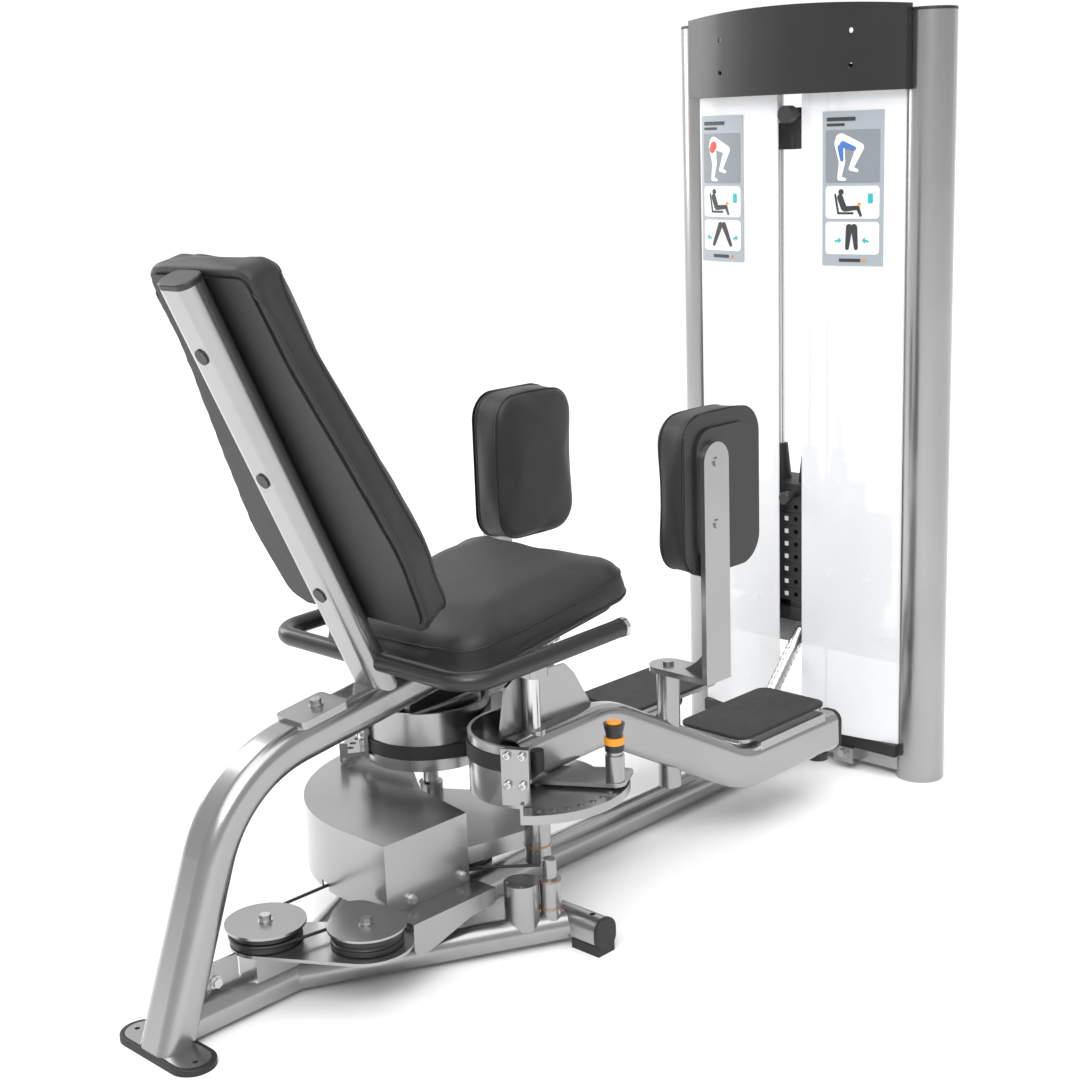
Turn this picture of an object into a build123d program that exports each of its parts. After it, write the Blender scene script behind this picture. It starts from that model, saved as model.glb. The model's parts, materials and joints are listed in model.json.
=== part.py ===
from build123d import *
import os
from math import cos, hypot, radians, sin

os.makedirs("parts", exist_ok=True)

# Hip abductor machine, in millimetres. X runs to the user's right, Y from the rear foot to the weight
# tower, Z up from the floor. Everything is drawn from the centre of the rear foot and moved on saving.
CENTRE_Y = 811.15

# Frame
LEG_WIDTH, LEG_DEPTH = 76.0, 60.0
LEG_CORNER = (139.0, 381.0)
BEAM_SLOPE = 0.145
BEAM_END_Y = 690.0
BEND_RADIUS = 210.0
WALL = 3.0
SPINE_RADIUS, SPINE_Z = 30.0, 32.0
STUB_Y, STUB_Z = 631.0, 34.5

# Leg pivots, drums and arms, right side; the left side is the mirror image
PIVOT = (128.0, 649.0)
SHAFT_RADIUS = 12.0
RUNNING_GAP = 0.06
DRUM_RADIUS, DRUM_BOTTOM, DRUM_TOP = 107.5, 250.0, 343.0
DRUM_BAND = (110.0, 310.0)
HOLE_CIRCLE, HOLE_STEP, HOLE_FIRST, HOLE_COUNT = 136.0, 9.75, -44.0, 8
ARM_WIDTH, ARM_HEIGHT = 50.0, 76.0
ARM_PATH = ((131, 592, 297), (118.3, 830, 297), (190, 1108, 145), (195, 1380, 145))
ARM_BEND = 120.0
POST = (150.0, 962.0)
PAD_X, PAD_Y, PAD_Z = (175.0, 246.0), (898.0, 1098.0), (547.0, 819.0)

# Seat and back
BACK_LEAN = 24.9
SEAT_TILT = 8.3
HANDLE_HALF_WIDTH, HANDLE_RADIUS = 230.0, 15.0
PLUG_HEIGHTS = (176, 386, 595)

# Cable drive: plan positions of pulleys and posts, and the round front of the cover
CARRIER_PULLEYS = ((60.0, 560.0), (-10.0, 700.0))
WIDE_POST, NARROW_POST = (175.0, 560.0), (201.0, 599.0)
COVER_ARC = ((15.0, 342.0), (-172.7, 407.7), (-263.0, 583.0))
REAR_PULLEY, MIDDLE_PULLEY = (0.0, 188.0), (126.0, 280.0)

# Weight tower
PILLAR_X, PILLAR_Y, PILLAR_RADIUS, PILLAR_HEIGHT = 260.0, 1602.0, 46.6, 1460.0
STACK_Y = 1595.0
PLATE_THICKNESS, PLATE_PITCH, PLATE_COUNT, STACK_BOTTOM = 25.4, 26.07, 7, 328.0
HEAD_BOTTOM, HEAD_TOP = 510.5, 569.0
ROD_X, ROD_RADIUS = 70.0, 8.0
SHROUD_RADIUS, SHROUD_FRONT = 1012.0, 1528.4
TOWER_PULLEY_Y, TOWER_GROOVE = 1625.0, 30.0
CROWN_Z, BASE_Z = 1400.0, 62.0


def save(name, *pieces):
    """Write one named piece, moved so that the origin is the middle of the floor rectangle."""
    solids = [s for piece in pieces for s in (Pos(0, -CENTRE_Y, 0) * piece).solids()]
    export_step(solids[0] if len(solids) == 1 else Compound(solids), f"parts/{name}.step")


def box(x, y, z):
    """A block between three pairs of limits."""
    centre = Pos((x[0] + x[1]) / 2, (y[0] + y[1]) / 2, (z[0] + z[1]) / 2)
    return centre * Box(x[1] - x[0], y[1] - y[0], z[1] - z[0])


def rod(at, z, radius):
    """An upright round bar at a plan position."""
    return Pos(at[0], at[1], (z[0] + z[1]) / 2) * Cylinder(radius, z[1] - z[0])


def bar(start, end, radius):
    """A round bar between two points in space."""
    along = Vector(end) - Vector(start)
    return extrude(Plane(origin=start, z_dir=along) * Circle(radius), amount=along.length)


def slab(face, z):
    """A plan outline raised between two heights."""
    return extrude(Pos(0, 0, z[0]) * face, amount=z[1] - z[0])


def polar(centre, radius, angle):
    """The plan point at a radius and angle from a centre."""
    return (centre[0] + radius * cos(radians(angle)), centre[1] + radius * sin(radians(angle)))


def wedge(centre, radius, angles):
    """A pie slice of a disc, in plan."""
    start, end = polar(centre, radius, angles[0]), polar(centre, radius, angles[1])
    middle = polar(centre, radius, sum(angles) / 2)
    return make_face([Line(centre, start), ThreePointArc(start, middle, end), Line(end, centre)])


def ring(centre, outer, inner, angles, z):
    """A curved strip between two radii."""
    return slab(wedge(centre, outer, angles), z) - rod(centre, (z[0] - 1, z[1] + 1), inner)


def hull(circles):
    """The outline stretched round a set of (centre, radius) circles."""
    edges = [edge for at, radius in circles for edge in (Pos(*at) * Circle(radius)).edges()]
    return make_hull(edges)


def rounded(width, height, radius):
    return RectangleRounded(width, height, radius)


def swept(points, bend, profile, x_dir=(1, 0, 0)):
    """A profile carried along a bent line."""
    path = FilletPolyline(*points, radius=bend)
    return sweep(Plane(origin=path @ 0, x_dir=x_dir, z_dir=path % 0) * profile, path=path)


def both(shape):
    """A piece and its mirror image across the centre plane."""
    return [shape, mirror(shape, Plane.YZ)]


def hex_bolt(radius, height):
    """A hexagon bolt head standing on the XY plane, with a washer below it."""
    head = extrude(RegularPolygon(radius, 6), amount=height)
    return head + Pos(0, 0, 0.8) * Cylinder(radius * 1.25, 1.6)


# ---- rear leg and spine ---------------------------------------------------------------------

def beam_centre(y):
    """Height of the seat beam's centre line."""
    return LEG_CORNER[1] + BEAM_SLOPE * (y - LEG_CORNER[0])


def leg_solid(inset=0.0):
    corner = (0, *LEG_CORNER)
    foot = (0, -LEG_CORNER[0] * 30 / LEG_CORNER[1], -20)
    end = (0, BEAM_END_Y, beam_centre(BEAM_END_Y))
    profile = rounded(LEG_WIDTH - 2 * inset, LEG_DEPTH - 2 * inset, 22 - inset)
    return swept([foot, corner, end], BEND_RADIUS, profile)


def rear_leg():
    floor_side = box((-60, 60), (-90, 90), (-60, 10))
    tube = leg_solid() - leg_solid(WALL) - floor_side
    plate = slab(SlotOverall(176, 56), (4, 10))
    plate -= rod((73, -3), (0, 20), 4) + rod((-73, -3), (0, 20), 4)
    beam_cap = Plane(origin=(0, BEAM_END_Y, beam_centre(BEAM_END_Y)), x_dir=(1, 0, 0), z_dir=(0, 1, BEAM_SLOPE))
    cap = extrude(beam_cap * rounded(LEG_WIDTH, LEG_DEPTH, 22), amount=4)
    saddle_face = Plane(origin=(0, 304, beam_centre(304) + 30.3), x_dir=(1, 0, 0), z_dir=(0, -BEAM_SLOPE, 1))
    saddle = extrude(saddle_face * rounded(70, 92, 10), amount=6, both=True) - leg_solid()
    return tube + plate + cap + saddle


def rear_foot_rubber():
    pad = slab(SlotOverall(192, 70.6), (0, 10)) - slab(SlotOverall(176, 56), (4, 20))
    pad -= rod((73, -3), (-1, 5), 6) + rod((-73, -3), (-1, 5), 6)
    return fillet(pad.edges().group_by(Axis.Z)[-1], 2)


def spine():
    ends = ((0, 20, SPINE_Z), (0, PILLAR_Y - 37, SPINE_Z))
    tube = bar(*ends, SPINE_RADIUS) - bar(*ends, SPINE_RADIUS - WALL) - leg_solid()
    tube -= box((-60, 60), (0, 36), (-5, 10.2))
    tube = tube.solids().sort_by(SortBy.VOLUME)[-1]
    gusset = box((-2.5, 2.5), (40, 131), (55, 103)) - leg_solid() - bar(*ends, SPINE_RADIUS - 1)
    lug = box((-62, -20), (412, 420), (40, 122)) - bar(*ends, SPINE_RADIUS - 1)
    return tube + gusset.solids().sort_by(SortBy.VOLUME)[-1] + lug.solids().sort_by(Axis.X)[0]


def outrigger_solid(inset=0.0):
    diagonal = bar((0, 215, SPINE_Z), (212, 623, SPINE_Z), 24.5 - inset)
    profile = Plane(origin=(186 + inset, STUB_Y, STUB_Z), x_dir=(0, 1, 0), z_dir=(1, 0, 0))
    stub = extrude(profile * rounded(44 - 2 * inset, 51 - 2 * inset, 20 - inset), amount=98 - inset)
    return diagonal + stub


def outrigger():
    spine_core = bar((0, 100, SPINE_Z), (0, 400, SPINE_Z), SPINE_RADIUS)
    tube = outrigger_solid() - outrigger_solid(WALL) - spine_core - box((-80, 0), (100, 300), (0, 80))
    return tube - rod((262, STUB_Y), (50, 70), 5)


def outrigger_foot():
    profile = Plane(origin=(284, STUB_Y, STUB_Z), x_dir=(0, 1, 0), z_dir=(1, 0, 0))
    cap = extrude(profile * rounded(46, 53, 21), amount=8)
    cap = fillet(cap.edges().group_by(Axis.X)[-1], 3)
    pad = box((232, 290), (STUB_Y - 19, STUB_Y + 19), (0, 16))
    return cap + (pad - outrigger_solid())


# ---- seat ------------------------------------------------------------------------------------

def back_plane(offset):
    """The leaning plane of the backrest; its Y runs up the post."""
    lean = radians(BACK_LEAN)
    origin = (0, 407 + offset * cos(lean), 450 + offset * sin(lean))
    return Plane(origin=origin, x_dir=(-1, 0, 0), z_dir=(0, cos(lean), sin(lean)))


def backrest_post():
    def column(inset, low):
        across = Plane(origin=back_plane(22).from_local_coords((0, low, 0)), x_dir=(1, 0, 0),
                       z_dir=back_plane(0).y_dir)
        return extrude(across * rounded(72 - 2 * inset, 44 - 2 * inset, 19 - inset), amount=699 - low)

    handle_hole = bar((-60, 415, 491), (60, 415, 491), HANDLE_RADIUS)
    post = column(0, -45) - column(WALL, -45) - leg_solid() - handle_hole
    post = post.solids().sort_by(SortBy.VOLUME)[-1]
    for along in PLUG_HEIGHTS:
        post -= extrude(Plane(origin=back_plane(-5).from_local_coords((0, along, 0)),
                              z_dir=back_plane(0).z_dir) * Circle(8), amount=12)
    return post


def backrest_caps():
    top = Plane(origin=back_plane(22).from_local_coords((0, 699, 0)), x_dir=(1, 0, 0),
                z_dir=back_plane(0).y_dir)
    cap = extrude(top * rounded(72, 43.9, 19), amount=9)
    caps = [fillet(cap.edges().sort_by(lambda edge: edge.center().Z)[-4:], 3)]
    for along in PLUG_HEIGHTS:
        face = Plane(origin=back_plane(0).from_local_coords((0, along, 0)), z_dir=-back_plane(0).z_dir)
        caps.append(extrude(face * Circle(12), amount=2.5) + extrude(face * Circle(8), amount=-7))
    return caps


def back_outline(inset=0.0):
    """Waisted outline of the back pad: wide at the hips, narrow at the shoulders."""
    right = [(166, 95), (184, 240), (158, 402), (130, 560), (124, 710)]
    points = [(0, 95)] + right + [(-x, y) for x, y in reversed(right)]
    line = FilletPolyline(*points, radius=[0, 45, 260, 400, 400, 34, 34, 400, 400, 260, 45], close=True)
    face = make_face(line)
    return offset(face, -inset) if inset else face


def back_pad():
    pad = extrude(back_plane(44) * back_outline(), amount=68)
    front = pad.edges().filter_by(lambda edge: abs(back_plane(112).to_local_coords(edge.center()).Z) < 0.1)
    pad = fillet(front, 16)
    return pad - extrude(back_plane(43) * back_outline(14), amount=11)


def seat_plane(offset):
    tilt = radians(SEAT_TILT)
    return Plane(origin=(0, 650 - offset * sin(tilt), 560.3 + offset * cos(tilt)), x_dir=(1, 0, 0),
                 z_dir=(0, -sin(tilt), cos(tilt)))


def seat_pad():
    pad = extrude(seat_plane(-62) * RectangleRounded(380, 400, 65), amount=72)
    top = pad.edges().filter_by(lambda edge: abs(seat_plane(10).to_local_coords(edge.center()).Z) < 0.1)
    return fillet(top, 34)


def pad_boards():
    back = extrude(back_plane(44) * back_outline(14.2), amount=9.8)
    seat = extrude(seat_plane(-72) * RectangleRounded(330, 350, 50), amount=10)
    return back, seat


def handle_path():
    front = (HANDLE_HALF_WIDTH, 750, 501)
    rear = (HANDLE_HALF_WIDTH, 415, 491)
    return [front, rear, (-rear[0], *rear[1:]), (-front[0], *front[1:])]


def handle_bar():
    return swept(handle_path(), 50, Circle(HANDLE_RADIUS)) - swept(handle_path(), 50, Circle(HANDLE_RADIUS - 2.5))


def handle_end_caps():
    cap = bar((HANDLE_HALF_WIDTH, 750, 501), (HANDLE_HALF_WIDTH, 759, 501.27), HANDLE_RADIUS + 1)
    return both(cap)


# ---- pivots and drive ------------------------------------------------------------------------

def pivot_bar():
    crossbar = box((-152, 152), (PIVOT[1] - 20, PIVOT[1] + 20), (428, 452))
    crossbar = fillet(crossbar.edges().filter_by(Axis.Z), 12) - leg_solid()
    for x in (-PIVOT[0], PIVOT[0]):
        crossbar -= rod((x, PIVOT[1]), (420, 442), SHAFT_RADIUS)
    return crossbar


def carrier_outline():
    points = [(100, 521), (130, 662), (60, 692), (40, 740), (-60, 740), (-80, 692), (-130, 662), (-112, 610),
              (-26, 546)]
    return make_face(Polyline(*points, close=True))


def pivot_carrier():
    """Box-shaped carrier holding the two pivot housings, welded to the spine by a web."""
    carrier = slab(carrier_outline(), (138, 167)) - slab(offset(carrier_outline(), -5), (130, 162))
    carrier += box((-4, 4), (600, 655), (59, 163)) - bar((0, 590, SPINE_Z), (0, 670, SPINE_Z), SPINE_RADIUS)
    for side in (-1, 1):
        carrier += rod((side * PIVOT[0], PIVOT[1]), (108, 185), 21)
    for side in (-1, 1):
        carrier -= rod((side * PIVOT[0], PIVOT[1]), (140, 190), 14)
    for at in CARRIER_PULLEYS:
        carrier += rod(at, (137.4, 163), 14) + rod(at, (113, 138), 8)
    return carrier + box((-52, -38), (588, 600), (120, 163))


def pivot_shafts():
    shaft = rod(PIVOT, (140, 235), 14) + rod(PIVOT, (235, 442), SHAFT_RADIUS)
    return both(shaft)


def bronze_rings():
    rings = [rod((side * PIVOT[0], PIVOT[1]), (136, 139), 22.2) for side in (-1, 1)]
    rings = [collar - rod((side * PIVOT[0], PIVOT[1]), (130, 145), 21) for side, collar in zip((-1, 1), rings)]
    carrier = slab(carrier_outline(), (138, 167))
    rings = [collar - carrier for collar in rings]
    for z in (112, 66):
        rings.append(rod(NARROW_POST, (z, z + 3), 18.2) - rod(NARROW_POST, (z - 1, z + 4), 17))
    return rings


def anchor_posts():
    """The spring housing and the cable anchor, standing on the right floor tube."""
    wide = rod(WIDE_POST, (40, 116), 28.4)
    narrow = rod(NARROW_POST, (40, 116), 17) + rod(NARROW_POST, (116, 150), 11)
    narrow = chamfer(narrow.edges().group_by(Axis.Z)[-1], 1.5)
    posts = wide - outrigger_solid() - rod(WIDE_POST, (60, 111), 25)
    posts = posts.solids().sort_by(SortBy.VOLUME)[-1]
    narrow = (narrow - outrigger_solid()).solids().sort_by(SortBy.VOLUME)[-1]
    screws = [rod(polar(WIDE_POST, 23, 45 + 90 * k), (116, 117.5), 3) for k in range(4)]
    return [posts + screws, narrow]


def cam_cover():
    outer = make_face([Polyline((-263, 583), (-170, 600), (-124, 603), (-30, 538), (102, 516), (102, 342), (15, 342)),
                       ThreePointArc(*COVER_ARC)])
    inner = make_face([Polyline((-260, 583), (-260, 680), (99, 680), (99, 345), (15, 345)),
                       ThreePointArc((15, 345), (-170.7, 409.9), (-260, 583))])
    cable_ways = box((68, 94), (330, 352), (100, 124)) + box((-66, -44), (330, 372), (100, 124))
    return slab(outer, (112, 228)) - slab(inner, (100, 225)) - cable_ways


def cover_tray():
    """Flanged tray carrying the cover, with a tapered lip turned down along its outer edge."""
    flange = slab(Pos(95.5, 437.5) * Rectangle(113, 175), (108, 111.7))
    side = Plane(origin=(149, 0, 0), x_dir=(0, 1, 0), z_dir=(1, 0, 0))
    lip_line = FilletPolyline((350, 108.5), (525, 108.5), (525, 85), (470, 82), (382, 58), (350, 58), close=True,
                              radius=[0, 0, 9, 60, 60, 12])
    lip = extrude(side * make_face(lip_line), amount=3)
    bracket = box((39, 45), (400, 500), (60, 108.5)) - outrigger_solid()
    foot = box((-2, 45), (430, 470), (56, 64)) - bar((0, 400, SPINE_Z), (0, 500, SPINE_Z), SPINE_RADIUS)
    lug = box((86, 98), (431, 443), (110, 121))
    return flange + lip + bracket + (foot - outrigger_solid()) + lug


def pulley_plate():
    """Plate on the spine carrying the two rear pulleys, with their axles and cover discs."""
    plate = slab(hull([(REAR_PULLEY, 56), (MIDDLE_PULLEY, 70)]), (98, 103))
    stand = box((-22, 22), (150, 230), (50, 98)) - bar((0, 100, SPINE_Z), (0, 300, SPINE_Z), SPINE_RADIUS)
    plate += stand - outrigger_solid() - mirror(outrigger_solid(), Plane.YZ)
    plate += rod(REAR_PULLEY, (103, 134), 8) + rod(MIDDLE_PULLEY, (103, 134), 8)
    plate += rod(REAR_PULLEY, (130, 134), 62)
    guard = hull([(MIDDLE_PULLEY, 60), ((78, 300), 34)])
    return plate + slab(guard, (130, 133.5))


def pulley(centre, radius, z, bore=8.0):
    """A grooved sheave on an upright axle."""
    middle = sum(z) / 2
    sheave = rod(centre, z, radius) - rod(centre, (z[0] - 1, z[1] + 1), bore + RUNNING_GAP)
    groove = Pos(centre[0], centre[1], middle) * Torus(radius, 4.0)
    relief = rod(centre, (z[1] - 3, z[1] + 1), radius - 9) - rod(centre, (z[0], z[1] + 2), bore + 8)
    return sheave - groove - relief


def tower_pulley(z):
    turned = Pos(0, TOWER_PULLEY_Y, z) * Rot(0, 90, 0)
    return turned * pulley((0, 0), TOWER_GROOVE + 1, (-8, 8), 6.0)


def floor_cables():
    """The anchor post's cable round the carrier pulleys, and the cable round the two rear pulleys."""
    post_line = [(190, 588.5, 138), (110, 546.6, 126.5), (25, 502, 126.5), (25, 735, 126.5), (-45, 735, 126.5),
                 (-45, 600, 126.5)]
    post_run = swept(post_line, [60, 34.8, 34.8, 34.8], Circle(2.6), x_dir=(0, 0, 1))
    rear_run = swept([(94.3, 430, 116), (46.9, 133, 116), (-55, 133, 116), (-55, 412, 116)], 54.7, Circle(2.6),
                     x_dir=(0, 0, 1))
    return post_run, rear_run


def tower_cable():
    """Cable from the head plate over the crown pulley, down the back and into the spine tube."""
    back = TOWER_PULLEY_Y + TOWER_GROOVE
    points = [(0, STACK_Y, 602), (0, STACK_Y, CROWN_Z + TOWER_GROOVE), (0, back, CROWN_Z + TOWER_GROOVE),
              (0, back, BASE_Z - TOWER_GROOVE), (0, 1250, BASE_Z - TOWER_GROOVE)]
    return swept(points, TOWER_GROOVE - 0.01, Circle(2.6))


def drum_belt(sign, z):
    """A flat belt wrapped from one drum's clamp across to the front of the other drum."""
    right, left = (sign * PIVOT[0], PIVOT[1]), (-sign * PIVOT[0], PIVOT[1])
    radius = DRUM_RADIUS + 1.5

    def turn(angle):
        return angle if sign > 0 else 180 - angle

    def arc(centre, start, end):
        ends = [polar(centre, radius, turn(angle)) for angle in (start, (start + end) / 2, end)]
        return ThreePointArc(*ends)

    cross = 180 + 32.93
    first = arc(right, 289, cross)
    last = arc(left, 32.93, 62)
    line = first + Line(first @ 1, last @ 0) + last
    strip = Plane(origin=((first @ 0).X, (first @ 0).Y, sum(z) / 2), x_dir=(0, 0, 1), z_dir=first % 0)
    return sweep(strip * Rectangle(z[1] - z[0], 2.2), path=Pos(0, 0, sum(z) / 2) * line)


# ---- one leg side ----------------------------------------------------------------------------

def drum():
    """Belt drum welded to its hole plate, with the belt clamp, the stop tab and the bumper's tab."""
    low = DRUM_BOTTOM
    sector = (-55.0, 48.0)
    plate = rod(PIVOT, (low - 8, low), DRUM_RADIUS) + slab(wedge(PIVOT, 154, sector), (low - 8, low))
    plate += ring(PIVOT, 154, 149, sector, (low - 15, low - 7))
    for k in range(HOLE_COUNT):
        plate -= rod(polar(PIVOT, HOLE_CIRCLE, HOLE_FIRST + k * HOLE_STEP), (low - 20, low + 5), 5.8)
    band = ring(PIVOT, DRUM_RADIUS, DRUM_RADIUS - 6, DRUM_BAND, (low - 1, DRUM_TOP))
    turned = Pos(*PIVOT, 0) * Rot(0, 0, -61)
    clamp = turned * box((110.8, 117), (-22.5, 22.5), (low + 1, DRUM_TOP + 1))
    clamp += turned * box((104, 112), (-16, 16), (287.5, 300.5)) - rod(PIVOT, (low, 310), DRUM_RADIUS - 1)
    for across in (-12, 12):
        for z in (286, 334):
            clamp += turned * Pos(117, across, z) * Rot(0, 90, 0) * Cylinder(5.5, 11)
    tab = Pos(*PIVOT, 0) * Rot(0, 0, -55) * box((140, 154), (0, 5), (low - 1, low + 18))
    shelf = slab(hull([((175, 607), 10), (polar(PIVOT, 100, -52), 7)]), (284, 290))
    hub = rod(PIVOT, (low - 14.7, low + 4.7), 24)
    return plate + band + clamp + tab + shelf + hub - rod(PIVOT, (200, 300), SHAFT_RADIUS + RUNNING_GAP)


def drum_bumper():
    return rod((175, 607), (290, 324), 11)


def arm_solid(inset=0.0):
    return swept(ARM_PATH, ARM_BEND, rounded(ARM_WIDTH - 2 * inset, ARM_HEIGHT - 2 * inset, 19 - inset))


def arm():
    """Bent arm with pivot hub, lever plate, pop-pin sleeve, stiffening fin and pad-post sleeve."""
    pin_at = polar(PIVOT, HOLE_CIRCLE, HOLE_FIRST + (HOLE_COUNT - 1) * HOLE_STEP)
    tube = arm_solid() - arm_solid(WALL)
    lever = slab(hull([(PIVOT, 34), (pin_at, 17.5), (polar(PIVOT, 150, 43), 9)]), (255.4, 262))
    hub = rod(PIVOT, (256, 338), 20)
    sleeve = rod(pin_at, (256, 306), 15.5) + rod(pin_at, (306, 316), 12.8)
    fin_side = Plane(origin=(106, 0, 0), x_dir=(0, 1, 0), z_dir=(1, 0, 0))
    fin = make_face(Polyline((590, 328), (590, 334), (606, 414), (625, 425), (745, 420), (765, 400), (805, 334),
                             (805, 328), close=True))
    fin_plate = extrude(fin_side * fin, amount=6) - arm_solid()
    fin_plate = fin_plate.solids().sort_by(SortBy.VOLUME)[-1]
    post = rod(POST, (150, 361.7), 20)
    whole = tube + lever + hub + sleeve + fin_plate + post
    whole -= rod(PIVOT, (240, 350), SHAFT_RADIUS + RUNNING_GAP)
    whole -= rod(pin_at, (240, 330), 5.3 + RUNNING_GAP)
    return whole - rod(POST, (140, 370), SHAFT_RADIUS + RUNNING_GAP)


def foot_plate():
    plate = slab(Pos(126, 1236) * RectangleRounded(148, 256, 22), (191, 199))
    brace = box((170, 216), (1140, 1340), (176, 191.5)) - arm_solid()
    brace = brace.solids().sort_by(Axis.Z)[-1]
    ribs = [box((72, 172), (y, y + 8), (178, 191.5)) - arm_solid() for y in (1150, 1318)]
    return plate + brace + ribs


def arm_rubber():
    """Tread mat, arm end cap and the rest bumper under the arm's end."""
    tread = slab(Pos(126.5, 1236) * RectangleRounded(153, 262, 24), (199, 205))
    tread = fillet(tread.edges().group_by(Axis.Z)[-1], 2)
    end = Plane(origin=ARM_PATH[3], x_dir=(1, 0, 0), z_dir=Vector(ARM_PATH[3]) - Vector(ARM_PATH[2]))
    cap = extrude(end * rounded(ARM_WIDTH + 2, ARM_HEIGHT + 2, 20), amount=7)
    bumper = rod((194.5, 1345), (96, 110), 20) - arm_solid()
    return tread, cap, bumper.solids().sort_by(Axis.Z)[0]


def pop_pin():
    """Spring pin with its pull knob, drawn clear of the hole plate."""
    at = polar(PIVOT, HOLE_CIRCLE, HOLE_FIRST + (HOLE_COUNT - 1) * HOLE_STEP)
    pin = rod(at, (250.5, 330), 5.3)
    collar = rod(at, (312.6, 336), 15.5) - rod(at, (300, 324), 13.2)
    knob = rod(at, (336, 340), 13.5) + Pos(*at, 349) * Cone(13.5, 17.5, 18)
    knob += rod(at, (358, 361), 11)
    return pin + collar + knob


def pad_bracket():
    """Swivelling bracket: spindle, foot plate, upright plate and corner gusset."""
    x, y = POST
    spindle = rod(POST, (146, 366), SHAFT_RADIUS) + rod(POST, (372, 378), 11)
    foot = slab(hull([(POST, 32.5)]) + Pos((x + 262) / 2, y) * Rectangle(262 - x, 65), (362, 372))
    upright = box((252, 262), (y - 32.5, y + 32.5), (362, 740))
    upright += Pos(257, y, 740) * Rot(0, 90, 0) * Cylinder(32.5, 10)
    side = Plane(origin=(0, y + 3, 0), x_dir=(1, 0, 0), z_dir=(0, -1, 0))
    corner = make_face([Polyline((188, 371), (253, 371), (253, 500)),
                        ThreePointArc((253, 500), (238, 415), (188, 371))])
    screws = [Pos(263, y, z) * Rot(0, 90, 0) * Cylinder(8, 4) for z in (635, 739)]
    return spindle + foot + upright + extrude(side * corner, amount=6) + screws


def thigh_pad():
    """Cushion with softly rounded corners on its backing board."""
    middle = (sum(PAD_Y) / 2, sum(PAD_Z) / 2)
    side = Plane(origin=(PAD_X[0], *middle), x_dir=(0, 1, 0), z_dir=(1, 0, 0))
    outline = RectangleRounded(PAD_Y[1] - PAD_Y[0], PAD_Z[1] - PAD_Z[0], 50)
    cushion = extrude(side * outline, amount=PAD_X[1] - PAD_X[0])
    cushion = fillet(cushion.edges().group_by(Axis.X)[0], 14)
    board_side = Plane(origin=(PAD_X[1], *middle), x_dir=(0, 1, 0), z_dir=(1, 0, 0))
    board = extrude(board_side * RectangleRounded(150, 222, 38), amount=6)
    return cushion, board


# ---- weight tower ----------------------------------------------------------------------------

def pillar_cores(grow=0.0):
    core = rod((PILLAR_X, PILLAR_Y), (-10, PILLAR_HEIGHT + 20), PILLAR_RADIUS + grow)
    return core + mirror(core, Plane.YZ)


def pillars():
    tube = rod((PILLAR_X, PILLAR_Y), (0, PILLAR_HEIGHT), PILLAR_RADIUS)
    return both(tube - rod((PILLAR_X, PILLAR_Y), (-1, PILLAR_HEIGHT + 1), PILLAR_RADIUS - WALL))


def pillar_caps():
    cap = rod((PILLAR_X, PILLAR_Y), (PILLAR_HEIGHT, PILLAR_HEIGHT + 6), PILLAR_RADIUS)
    return both(fillet(cap.edges().group_by(Axis.Z)[-1], 3))


def header():
    """Bulged, arch-topped front cover of the tower head, open at the back and below."""
    def block(inset, back):
        half, front, bulge = 249 - inset, 1537 + inset, 1497 + inset
        outline = make_face([ThreePointArc((-half, front), (0, bulge), (half, front)),
                             Polyline((half, front), (half, back), (-half, back), (-half, front))])
        top = make_face([ThreePointArc((-260, 1472 - inset), (0, 1485 - inset), (260, 1472 - inset)),
                         Polyline((260, 1472 - inset), (260, 1324), (-260, 1324), (-260, 1472 - inset))])
        rise = extrude(Plane(origin=(0, 1400, 0), x_dir=(1, 0, 0), z_dir=(0, -1, 0)) * top, amount=-300)
        return slab(outline, (1300, 1500)) & rise

    shell = block(0, 1590) - Pos(0, 0, -0.2) * block(4, 1700) - pillar_cores(0.5)
    shell = shell.solids().sort_by(SortBy.VOLUME)[-1]
    for x in (-152, 148):
        for z in (1370, 1431.5):
            shell -= bar((x, 1480, z), (x, 1560, z), 5)
    return shell


def tower_beams():
    """Cross beams between the pillars: base, stack support and crown, with the pulley hangers."""
    beams = []
    for y, z in (((1565, 1627), (14, 46)), ((1562, 1620), (235, 285)), ((1564, 1590), (1335, 1375))):
        beam = box((-240, 240), y, z)
        inner = box((-250, 250), (y[0] + WALL, y[1] - WALL), (z[0] + WALL, z[1] - WALL))
        beams.append(beam - inner - pillar_cores())
    beams = [beam.solids().sort_by(SortBy.VOLUME)[-1] for beam in beams]
    spine_bore = bar((0, 1500, SPINE_Z), (0, 1700, SPINE_Z), 8)
    base = beams[0] - spine_bore
    base -= box((-12, 12), (1590, 1640), (10, 60))
    for side in (-1, 1):
        base += box(sorted((side * 12, side * 18)), (1590, 1640), (46, 84))
        beams[2] += box(sorted((side * 12, side * 18)), (1588, 1640), (1345, 1420))
        beams[2] -= rod((side * ROD_X, STACK_Y), (1300, 1351), ROD_RADIUS)
    base += bar((-18, TOWER_PULLEY_Y, BASE_Z), (18, TOWER_PULLEY_Y, BASE_Z), 6)
    crown = beams[2] + bar((-18, TOWER_PULLEY_Y, CROWN_Z), (18, TOWER_PULLEY_Y, CROWN_Z), 6)
    foot = box((100, 146), (1538, 1566), (14, 46)) + box((-146, -100), (1538, 1566), (14, 46))
    return [base + foot, beams[1], crown]


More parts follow.
